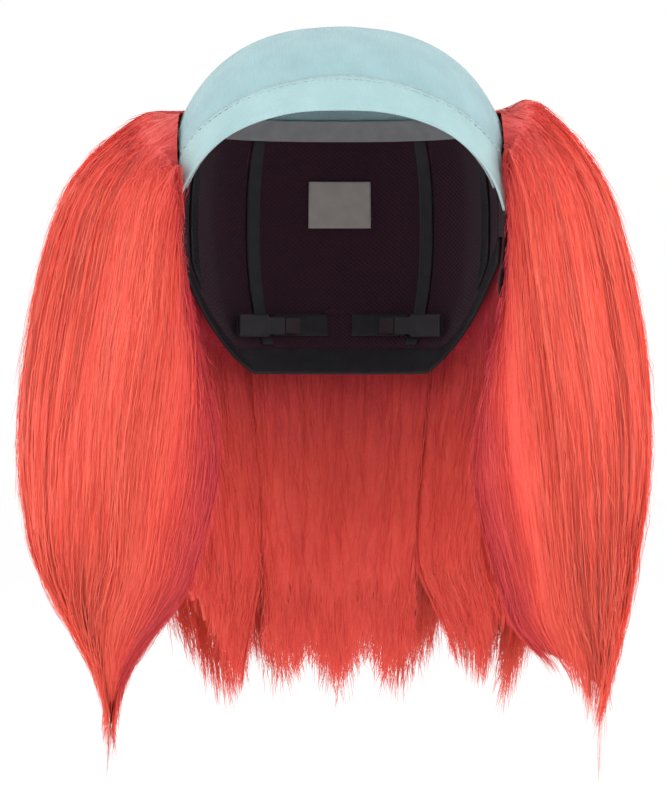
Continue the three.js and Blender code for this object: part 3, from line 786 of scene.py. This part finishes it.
def face_reach(bunch, u, row):
    """A side bunch reaches over the base's front edge, by a different amount at the top."""
    if bunch["face_edge"] is None:
        return u
    reach = mix(bunch["overlap"][0], bunch["overlap"][1], ease(row, 0.3, 0.9))
    return u * (1 + reach) if bunch["face_edge"] == 1 else u - reach * (1 - u)


def hair_points(bunch, root_u, root_row, u, row, share, sideways=0.0, outwards=0.0):
    """Points of strands, rooted at (root_u, root_row) and running at (u, row) across and into the bunch."""
    root_azimuth = mix(bunch["from"], bunch["to"], face_reach(bunch, root_u, root_row))
    root = lifted(form_points(root_azimuth, row_height(root_azimuth, root_row)), HAIR_ROOT_LIFT)
    root = np.stack([np.hypot(root[..., 0], root[..., 1] - CENTRE_Y), root[..., 2]], axis=-1)
    strength, start, done = bunch["draw"]
    drawn = strength * ease(share, start, done)
    u = face_reach(bunch, mix(u, bunch["apex"][0], drawn), row)
    row = mix(row, bunch["apex"][1], drawn)
    gathered = bunch["gather"] * ease(share, GATHER_START, 1)
    azimuth = mix(mix(bunch["from"], bunch["to"], u), bunch["tip"], gathered)
    outer, inner = guide_points(azimuth, OUTER_GUIDES), guide_points(azimuth, INNER_GUIDES)
    outer[..., 0] *= mix(1, bunch["spread"], ease(u, 0, 0.5))[..., None]
    guides = mix(inner, outer, row[..., None, None])
    guides[..., 1] -= bunch["drop"] * (np.arange(5) / 4) ** 3 + bunch["sink"] * (1 - np.arange(5) / 4) ** 3
    root = np.broadcast_to(root[..., None, :], (*azimuth.shape, 1, 2))
    along = curve_points(np.concatenate([root, guides], axis=-2), share + 0 * azimuth)
    radius = along[..., 0] + outwards
    angle = np.radians(azimuth) + sideways / np.maximum(radius, 10 * MM)
    return np.stack([radius * np.sin(angle), CENTRE_Y - radius * np.cos(angle), along[..., 1]], axis=-1)


def full_length(bunch, u, row):
    """The share of the full length that the hair reaches, across and through a bunch."""
    places, shares = np.array(bunch["ends"]).T
    away = np.abs(row - bunch["apex"][1])
    return np.interp(u, places, shares) - bunch["cut"] * away


def nearest(places, leaders):
    """For each place, the number of the nearest leader."""
    gaps = ((places[:, None] - leaders[None]) ** 2).sum(axis=-1)
    return gaps.argmin(axis=1)


def waves(count, share, amplitude, cycles):
    """A smooth sway for each strand or lock."""
    phase = random.uniform(0, 2 * np.pi, (count, 1))
    turns = random.uniform(cycles[0], cycles[1], (count, 1))
    size = amplitude * random.uniform(0.4, 1, (count, 1))
    return size * np.sin(phase + 2 * np.pi * turns * share)


def widened(bunch, u):
    """A bunch is a little wider on the sides where it meets the next one."""
    if bunch["face_edge"] is None:
        return 0.5 + (u - 0.5) * SIDE_OVERLAP
    return np.where(np.abs(u - bunch["face_edge"]) > 0.5, 0.5 + (u - 0.5) * SIDE_OVERLAP, u)


def edge_seats(bunch, depth):
    """Places across the bunch for strands that lie on its edges, most of them on an edge next to the face."""
    at_start = random.uniform(0, 1, depth.shape) < {None: 0.5, 0: 0.7, 1: 0.3}[bunch["face_edge"]]
    return widened(bunch, np.where(at_start, depth, 1 - depth))


def face_areas(bunch, low, high):
    """The areas that a row's strands lie on, in square metres: only the outermost rows have faces."""
    across = math.radians(bunch["to"] - bunch["from"]) * MEAN_RADIUS
    return {"outer": across * FACE_LENGTH["outer"] * (high == 1.0),
            "inner": across * FACE_LENGTH["inner"] * (low == 0.0),
            "edge": MEAN_DEPTH * (high - low) * FACE_LENGTH["edge"] * 2}


def strand_seats(bunch, low, high, count, depth_spread, inside):
    """Where strands sit across the bunch: on its outer and inner faces and its edges, with a share inside."""
    faces = face_areas(bunch, low, high)
    kind = random.uniform(0, sum(faces.values()), count)
    u = random.uniform(-0.03, 1.03, count)
    row = random.uniform(low - 0.04, high + 0.04, count)
    depth = np.abs(random.normal(0, depth_spread, count))
    on_edge = kind < faces["edge"]
    on_outer = (kind >= faces["edge"]) & (kind < faces["edge"] + faces["outer"])
    on_inner = ~on_edge & ~on_outer
    deep = random.uniform(0, 1, count) < inside
    row = np.where(on_outer & ~deep, 1.0 - depth, np.where(on_inner & ~deep & (low == 0.0), depth, row))
    u = np.where(on_edge & ~deep, edge_seats(bunch, depth * 0.4), u)
    return u, np.clip(row, 0, 1), on_edge & ~deep


def root_rows(bunch, row, high):
    """Where strands are sewn on: the top row's outer strands cover the rim's seam."""
    if high < 1.0:
        return row
    over = random.uniform(0, 1, row.shape) < 0.5
    return np.where(over & (row > 0.93), 1 + bunch["cover"] * random.uniform(0, 1, row.shape), row)


def laid_lines(bunch, high, seats, u, row, run, swing, lift):
    """Lines of strands from their sewn roots; they swing along the face that they lie on and lift off it."""
    root_u, root_row, on_edge = (seat[:, None] for seat in seats)
    edge_side, face_side = np.where(root_u > 0.5, 1, -1), np.where(root_row > 0.35, 1, -1)
    sideways = np.where(on_edge, edge_side * lift, swing)
    outwards = np.where(on_edge, swing * 0.5, face_side * lift)
    sewn_row = root_rows(bunch, seats[1], high)[:, None]
    return hair_points(bunch, root_u, sewn_row, u, row, run, sideways, outwards)


def rounded_seat(bunch, u, row):
    """The bunch's front corners are round: strands near its face edge keep away from the faces."""
    if bunch["face_edge"] is None:
        return row
    into = np.abs(u - bunch["face_edge"])
    corner = np.clip(1 - into / 0.18, 0, 1) ** 2
    return 0.5 + (row - 0.5) * (1 - 0.14 * corner)


def ribbons(centres, half, tilt, turned, tone):
    """Flat fine strands along lines of centres, shaded like the face of hair that they lie on.

    Turned strands lie on an edge of the bunch, a quarter turn from its faces.
    """
    tangent = np.gradient(centres, axis=1)
    tangent /= np.maximum(np.linalg.norm(tangent, axis=-1, keepdims=True), 1e-9)
    radial = centres - np.array([0, CENTRE_Y, 0])
    radial[..., 2] = 0
    radial /= np.linalg.norm(radial, axis=-1, keepdims=True)
    across = np.cross(tangent, radial)
    across /= np.maximum(np.linalg.norm(across, axis=-1, keepdims=True), 1e-9)
    facing = np.cross(across, tangent)
    turned = turned[:, None, None]
    side, normal = np.where(turned, facing, across), np.where(turned, -across, facing)
    tilt = tilt[:, None, None]
    wide = side * np.cos(tilt) + normal * np.sin(tilt)
    normal = normal * np.cos(tilt) - side * np.sin(tilt)
    points = np.stack([centres - wide * half[..., None], centres + wide * half[..., None]], axis=2)
    count, rings = centres.shape[:2]
    grid = np.arange(count * rings * 2).reshape(count, rings, 2)
    quads = np.stack([grid[:, :-1, 0], grid[:, :-1, 1], grid[:, 1:, 1], grid[:, 1:, 0]], axis=-1)
    normals, tones = np.repeat(normal[:, :, None], 2, axis=2), np.repeat(tone[..., None], 2, axis=2)
    return points.reshape(-1, 3), quads.reshape(-1, 4), normals.reshape(-1, 3), tones.ravel()


def painted_light_and_shade(bunch, u, row, share):
    """Painted shade and light in the hair's tone: darker crimson at the roots, inside the bunch and next to
    the face, lighter orange on the outside and lower down.
    """
    # painted shade inside the bunch and near the roots, painted light on the outer face and further down
    tone = -0.06 + 0.28 * row + 0.56 * ease(share, 0.06, 0.5)
    if bunch["face_edge"] is not None:
        # painted shade on the inner corner next to the face
        into = np.abs(u - bunch["face_edge"])
        face_shade = np.clip(1 - into / 0.35, 0, 1) * (1 - ease(row, 0.05, 0.6))
        tone = tone - 0.4 * face_shade
    return tone


def long_strands(bunch, low, high, count):
    """Strands from root to tip, loosely gathered into wisps that draw together towards their tips."""
    share = STRAND_SHARES[None, :]
    seats = strand_seats(bunch, low, high, count, 0.012, 0.2)
    root_u, root_row, on_edge = seats
    seat_row = rounded_seat(bunch, root_u, root_row)
    width = abs(bunch["to"] - bunch["from"]) * DEGREE_WIDTH
    places = np.stack([root_u * width, seat_row * MEAN_DEPTH / MM], axis=-1)
    locks = random.choice(count, max(6, count // LOCK_STRANDS), replace=False)
    wisps = random.choice(count, max(20, count // WISP_STRANDS), replace=False)
    lock, wisp = nearest(places, places[locks]), nearest(places, places[wisps])
    big, small = 0.5 * ease(share, 0.55, 1), 0.10 + 0.6 * ease(share, 0.5, 0.98)
    u, row = (mix(mix(seat[:, None], seat[locks][lock][:, None], big), seat[wisps][wisp][:, None], small)
              for seat in (root_u, seat_row))
    loose = np.where(random.uniform(0, 1, (count, 1)) < LOOSE_SHARE, 1.0, 0.0)
    length = full_length(bunch, root_u, seat_row) * random.uniform(*LOCK_LENGTHS, len(locks))[lock]
    length = length * random.uniform(*WISP_LENGTHS, len(wisps))[wisp] * random.uniform(*STRAND_LENGTHS, count)
    run = share * length[:, None]
    grown = ease(share, 0.05, 0.5)
    loose_sway = 1 + 3 * loose
    swing = grown * (waves(len(locks), share, *LOCK_SWAY)[lock] + waves(len(wisps), share, *WISP_SWAY)[wisp]
                     + waves(count, share, *STRAND_SWAY) * loose_sway)
    lift = grown * (0.15 * MM + waves(len(wisps), share, *WISP_LIFT)[wisp]
                    + waves(count, share, *STRAND_LIFT) * loose_sway + loose * LOOSE_LIFT)
    centres = laid_lines(bunch, high, seats, u, row, run, swing, lift)
    taper = np.clip((1.02 - share) * 9, 0, 1) ** 0.6
    half = STRAND_WIDTH * random.uniform(0.6, 1.15, (count, 1)) * taper / 2
    tone = (random.normal(0, STRAND_TONES, len(locks))[lock]
            + random.normal(0, STRAND_TONES, len(wisps))[wisp]
            + random.normal(0, STRAND_TONES, count))[:, None]
    # the random tones of locks, wisps and strands, plus painted shade and light
    tone = tone + painted_light_and_shade(bunch, u, row, share)
    tilt = np.where(loose[:, 0] > 0, random.normal(0, 1, count), 0)
    return ribbons(centres, half, tilt, on_edge, tone)


def short_fibres(bunch, low, high, count):
    """Crimped loose fibres that lie on the bunch's faces along its flow, and make its fuzzy outline."""
    along = np.linspace(0, 1, FIBRE_RINGS)[None, :]
    seats = strand_seats(bunch, low, high, count, 0.004, 0.0)
    root_u, root_row, on_edge = seats
    seat_row = rounded_seat(bunch, root_u, root_row)
    reach = full_length(bunch, root_u, seat_row)
    length = random.uniform(*FIBRE_LENGTHS, count)
    at_tip = random.uniform(0, 1, count) < TIP_SHARE
    start = np.where(at_tip, reach - length * random.uniform(0.7, 2.2, count),
                     random.uniform(0.0, 1.0, count) * (reach - length * 0.85))
    run = start[:, None] + along * length[:, None]
    fuzzy = random.uniform(0, 1, (count, 1)) < FUZZ_SHARE
    fuzz = np.where(fuzzy, random.uniform(*FUZZ_LIFTS, (count, 1)), 0.0) * MM
    u = root_u[:, None] + random.normal(0, 0.012, (count, 1)) * along
    row = seat_row[:, None] + 0 * along
    grown = ease(run, 0, 0.06)
    crimp = waves(count, along, 0.75 * MM, FIBRE_WAVES)
    swing = grown * (crimp + random.normal(0, 2.5 * MM, (count, 1)) * along)
    lift = grown * (waves(count, along, 0.06 * MM, FIBRE_WAVES)
                    + waves(count, along, 0.35, FIBRE_WAVES) * fuzz + fuzz * along + 0.2 * MM)
    centres = laid_lines(bunch, high, seats, u, row, run, swing, lift)
    taper = np.clip(np.minimum(along + 0.1, 1.05 - along) * 4, 0, 1)
    half = FIBRE_WIDTH * random.uniform(0.6, 1.1, (count, 1)) * taper / 2
    # a random tone for each fibre, plus painted shade and light
    tone = random.normal(0, FIBRE_TONES, (count, 1)) + painted_light_and_shade(bunch, u, row, run)
    tilt = np.where(fuzz[:, 0] > 0, random.normal(0, 1, count), 0)
    return ribbons(centres, half, tilt, on_edge, tone)


def grid_part(points, tone):
    """A smooth sheet of quads from a grid of points: points, quads, a normal and a tone for each point."""
    along, across = np.gradient(points, axis=0), np.gradient(points, axis=1)
    normals = np.cross(along, across).reshape(-1, 3)
    normals /= np.maximum(np.linalg.norm(normals, axis=1, keepdims=True), 1e-12)
    grid = np.arange(points.shape[0] * points.shape[1]).reshape(points.shape[:2])
    quads = np.stack([grid[:-1, :-1], grid[1:, :-1], grid[1:, 1:], grid[:-1, 1:]], axis=-1).reshape(-1, 4)
    return points.reshape(-1, 3), quads, normals, tone.ravel()


def hair_core(bunch, low, high):
    """The dense inside of a row of hair: the faces, edges and end of the body under the loose strands."""
    u = np.linspace(0.0, 1.0, CORE_COLUMNS)[:, None]
    share = np.linspace(0, 1, CORE_RINGS)[None, :]
    middle, half = (low + high) / 2, (high - low) / 2 + ROW_OVERLAP
    teeth = 0.02 * np.sin(u * 43 + low * 9) + 0.02 * np.sin(u * 97 + low * 5)
    lumps = 0.5 + 0.25 * np.sin(u * 31 + 3 * share + low * 7) + 0.25 * np.sin(u * 67 - 4 * share + low * 3)
    thin = 1 - bunch["thin"] * ease(share, 0.8, 1)
    inset = widened(bunch, 0.5 + (u - 0.5) * (1 - 0.012 * lumps))
    faces, tones = [], []
    for side in (1, -1):
        row = np.clip(middle + side * (half - 0.008 * lumps) * thin, 0.0, 0.998)
        run = share * full_length(bunch, u, row[:, :1]) * (bunch["solid"] + teeth)
        # the core's tone is painted shade and light only
        tones.append(painted_light_and_shade(bunch, u, row, run))
        row = rounded_seat(bunch, u + 0 * row, row)
        sewn_row = row[:, :1] + (bunch["cover"] * 0.8 if side == 1 and high == 1.0 else 0)
        faces.append(hair_points(bunch, inset, sewn_row + 0 * row, inset + 0 * row, row, run))
    body, tone = np.stack(faces, axis=2), np.stack(tones, axis=2)
    return [grid_part(body[:, :, 0], tone[:, :, 0]), grid_part(body[:, :, 1], tone[:, :, 1]),
            grid_part(body[0], tone[0]), grid_part(body[-1], tone[-1]), grid_part(body[:, -1], tone[:, -1])]


def whisker(bunch, count):
    """A thin lock that hangs out below the tip of its bunch."""
    depth, bend, reach = bunch["whisker"]
    along = np.linspace(0, 1, WHISKER_RINGS)[None, :]
    length = reach - random.uniform(0, 0.16, (count, 1))
    run = mix(0.86, length, along)
    u = bunch["apex"][0] + random.normal(0, 0.012, (count, 1)) * (1 - 0.6 * along)
    row = depth + random.normal(0, 0.03, (count, 1)) * (1 - 0.6 * along)
    sideways = waves(count, along, 0.5 * MM, (1, 3))
    outwards = waves(count, along, 0.5 * MM, (1, 3)) + bend * along ** 1.5
    centres = hair_points(bunch, u[:, :1], row[:, :1], u, row, run, sideways, outwards)
    half = STRAND_WIDTH * random.uniform(0.5, 1.0, (count, 1)) * np.clip((1.02 - along) * 6, 0, 1) / 2
    # a random tone for each strand, plus painted shade and light
    tone = random.normal(0, FIBRE_TONES, (count, 1)) + painted_light_and_shade(bunch, u, row, run)
    return ribbons(centres, half, random.normal(0, WHISKER_TWIST, count), np.zeros(count, bool), tone)


def fast_piece(name, parts, material):
    """A mesh object joined from parts: arrays of points, quads, and a normal and a tone for each point."""
    starts = np.cumsum([0] + [len(part[0]) for part in parts])
    points = np.concatenate([part[0] for part in parts])
    quads = np.concatenate([part[1] + start for part, start in zip(parts, starts)])
    normals = np.concatenate([part[2] for part in parts])
    tones = np.concatenate([part[3] for part in parts])
    mesh = bpy.data.meshes.new(name)
    mesh.vertices.add(len(points))
    mesh.vertices.foreach_set("co", points.astype(np.float32).ravel())
    mesh.loops.add(quads.size)
    mesh.loops.foreach_set("vertex_index", quads.astype(np.int32).ravel())
    mesh.polygons.add(len(quads))
    mesh.polygons.foreach_set("loop_start", np.arange(0, quads.size, 4, dtype=np.int32))
    mesh.polygons.foreach_set("use_smooth", np.ones(len(quads), bool))
    attribute = mesh.attributes.new("tone", "FLOAT", "POINT")
    attribute.data.foreach_set("value", tones.astype(np.float32))
    mesh.update(calc_edges=True)
    mesh.validate()
    shading = mesh.attributes.new("custom_normal", "FLOAT_VECTOR", "POINT")
    shading.data.foreach_set("vector", normals.astype(np.float32).ravel())
    mesh.materials.append(material)
    piece = bpy.data.objects.new(name, mesh)
    bpy.context.scene.collection.objects.link(piece)
    return piece


for bunch in BUNCHES:
    for number, (low, high) in enumerate(HAIR_ROWS, start=1):
        area = sum(face_areas(bunch, low, high).values()) * 1
        hair = fast_piece(f"locks_{bunch['name']}_{number}", [
            *hair_core(bunch, low, high),
            long_strands(bunch, low, high, int(STRANDS_DENSITY * area)),
            short_fibres(bunch, low, high, int(FIBRES_DENSITY * area)),
            *([whisker(bunch, WHISKER_STRANDS)] if "whisker" in bunch and high == 1.0 else []),
        ], HAIR)
        stand_in(hair, f"hair_{bunch['name']}_row_{number}")

# ---------- stage, light and camera ----------

FLOOR_Z = -0.300
FLOOR_HALF = 8.0


def floor_material():
    n = Nodes("pale_floor", 0.9)
    place = n.add("ShaderNodeTexCoord").outputs["Object"]
    n.colour(n.ramp(n.noise(place, 2, 2), (0.2, srgb(253, 253, 254)), (0.8, srgb(255, 255, 255))))
    return n.material


def make_floor():
    """A plain pale floor under the wig."""
    corners = [(x * FLOOR_HALF, y * FLOOR_HALF, FLOOR_Z) for x, y in ((-1, -1), (1, -1), (1, 1), (-1, 1))]
    return new_piece("floor", corners, [[0, 1, 2, 3]], floor_material())


floor = make_floor()


def area_light(name, place, aim, size, power):
    """A soft rectangular light aimed at a point."""
    light = bpy.data.lights.new(name, "AREA")
    light.shape, light.size, light.energy = "SQUARE", size, power
    lamp = bpy.data.objects.new(name, light)
    lamp.location = place
    direction = mathutils.Vector(aim) - mathutils.Vector(place)
    lamp.rotation_euler = direction.to_track_quat("-Z", "Y").to_euler()
    bpy.context.scene.collection.objects.link(lamp)


world = bpy.data.worlds.new("studio")
world.use_nodes = True
background = world.node_tree.nodes["Background"]
background.inputs["Color"].default_value = (1, 1, 1, 1)
background.inputs["Strength"].default_value = 1.0
bpy.context.scene.world = world
# Each light's name, place, aim, size and power.
for lamp_settings in (
    ("key", (-1.3, -1.5, 0.1), (0, 0, -0.03), 1.2, 9),
    ("fill", (1.3, -1.5, 0.1), (0, 0, -0.03), 1.2, 9),
    ("back_left", (-1.2, 0.9, 0.9), (0, 0, 0), 1.0, 3),
    ("back_right", (1.2, 0.9, 0.9), (0, 0, 0), 1.0, 3),
):
    area_light(*lamp_settings)

PHOTO_CENTRE = (-0.0032, -0.06825)
CAMERA_DISTANCE = 1.9
PHOTO_HEIGHT = 0.364
SENSOR = 36

camera_data = bpy.data.cameras.new("camera")
camera_data.sensor_fit, camera_data.sensor_height, camera_data.sensor_width = "VERTICAL", SENSOR, SENSOR
camera_data.lens = SENSOR * CAMERA_DISTANCE / PHOTO_HEIGHT
camera = bpy.data.objects.new("camera", camera_data)
camera.location = (PHOTO_CENTRE[0], -CAMERA_DISTANCE, PHOTO_CENTRE[1])
camera.rotation_euler = (math.pi / 2, 0, 0)
bpy.context.scene.collection.objects.link(camera)
bpy.context.scene.camera = camera
bpy.context.scene.view_settings.view_transform = "Standard"
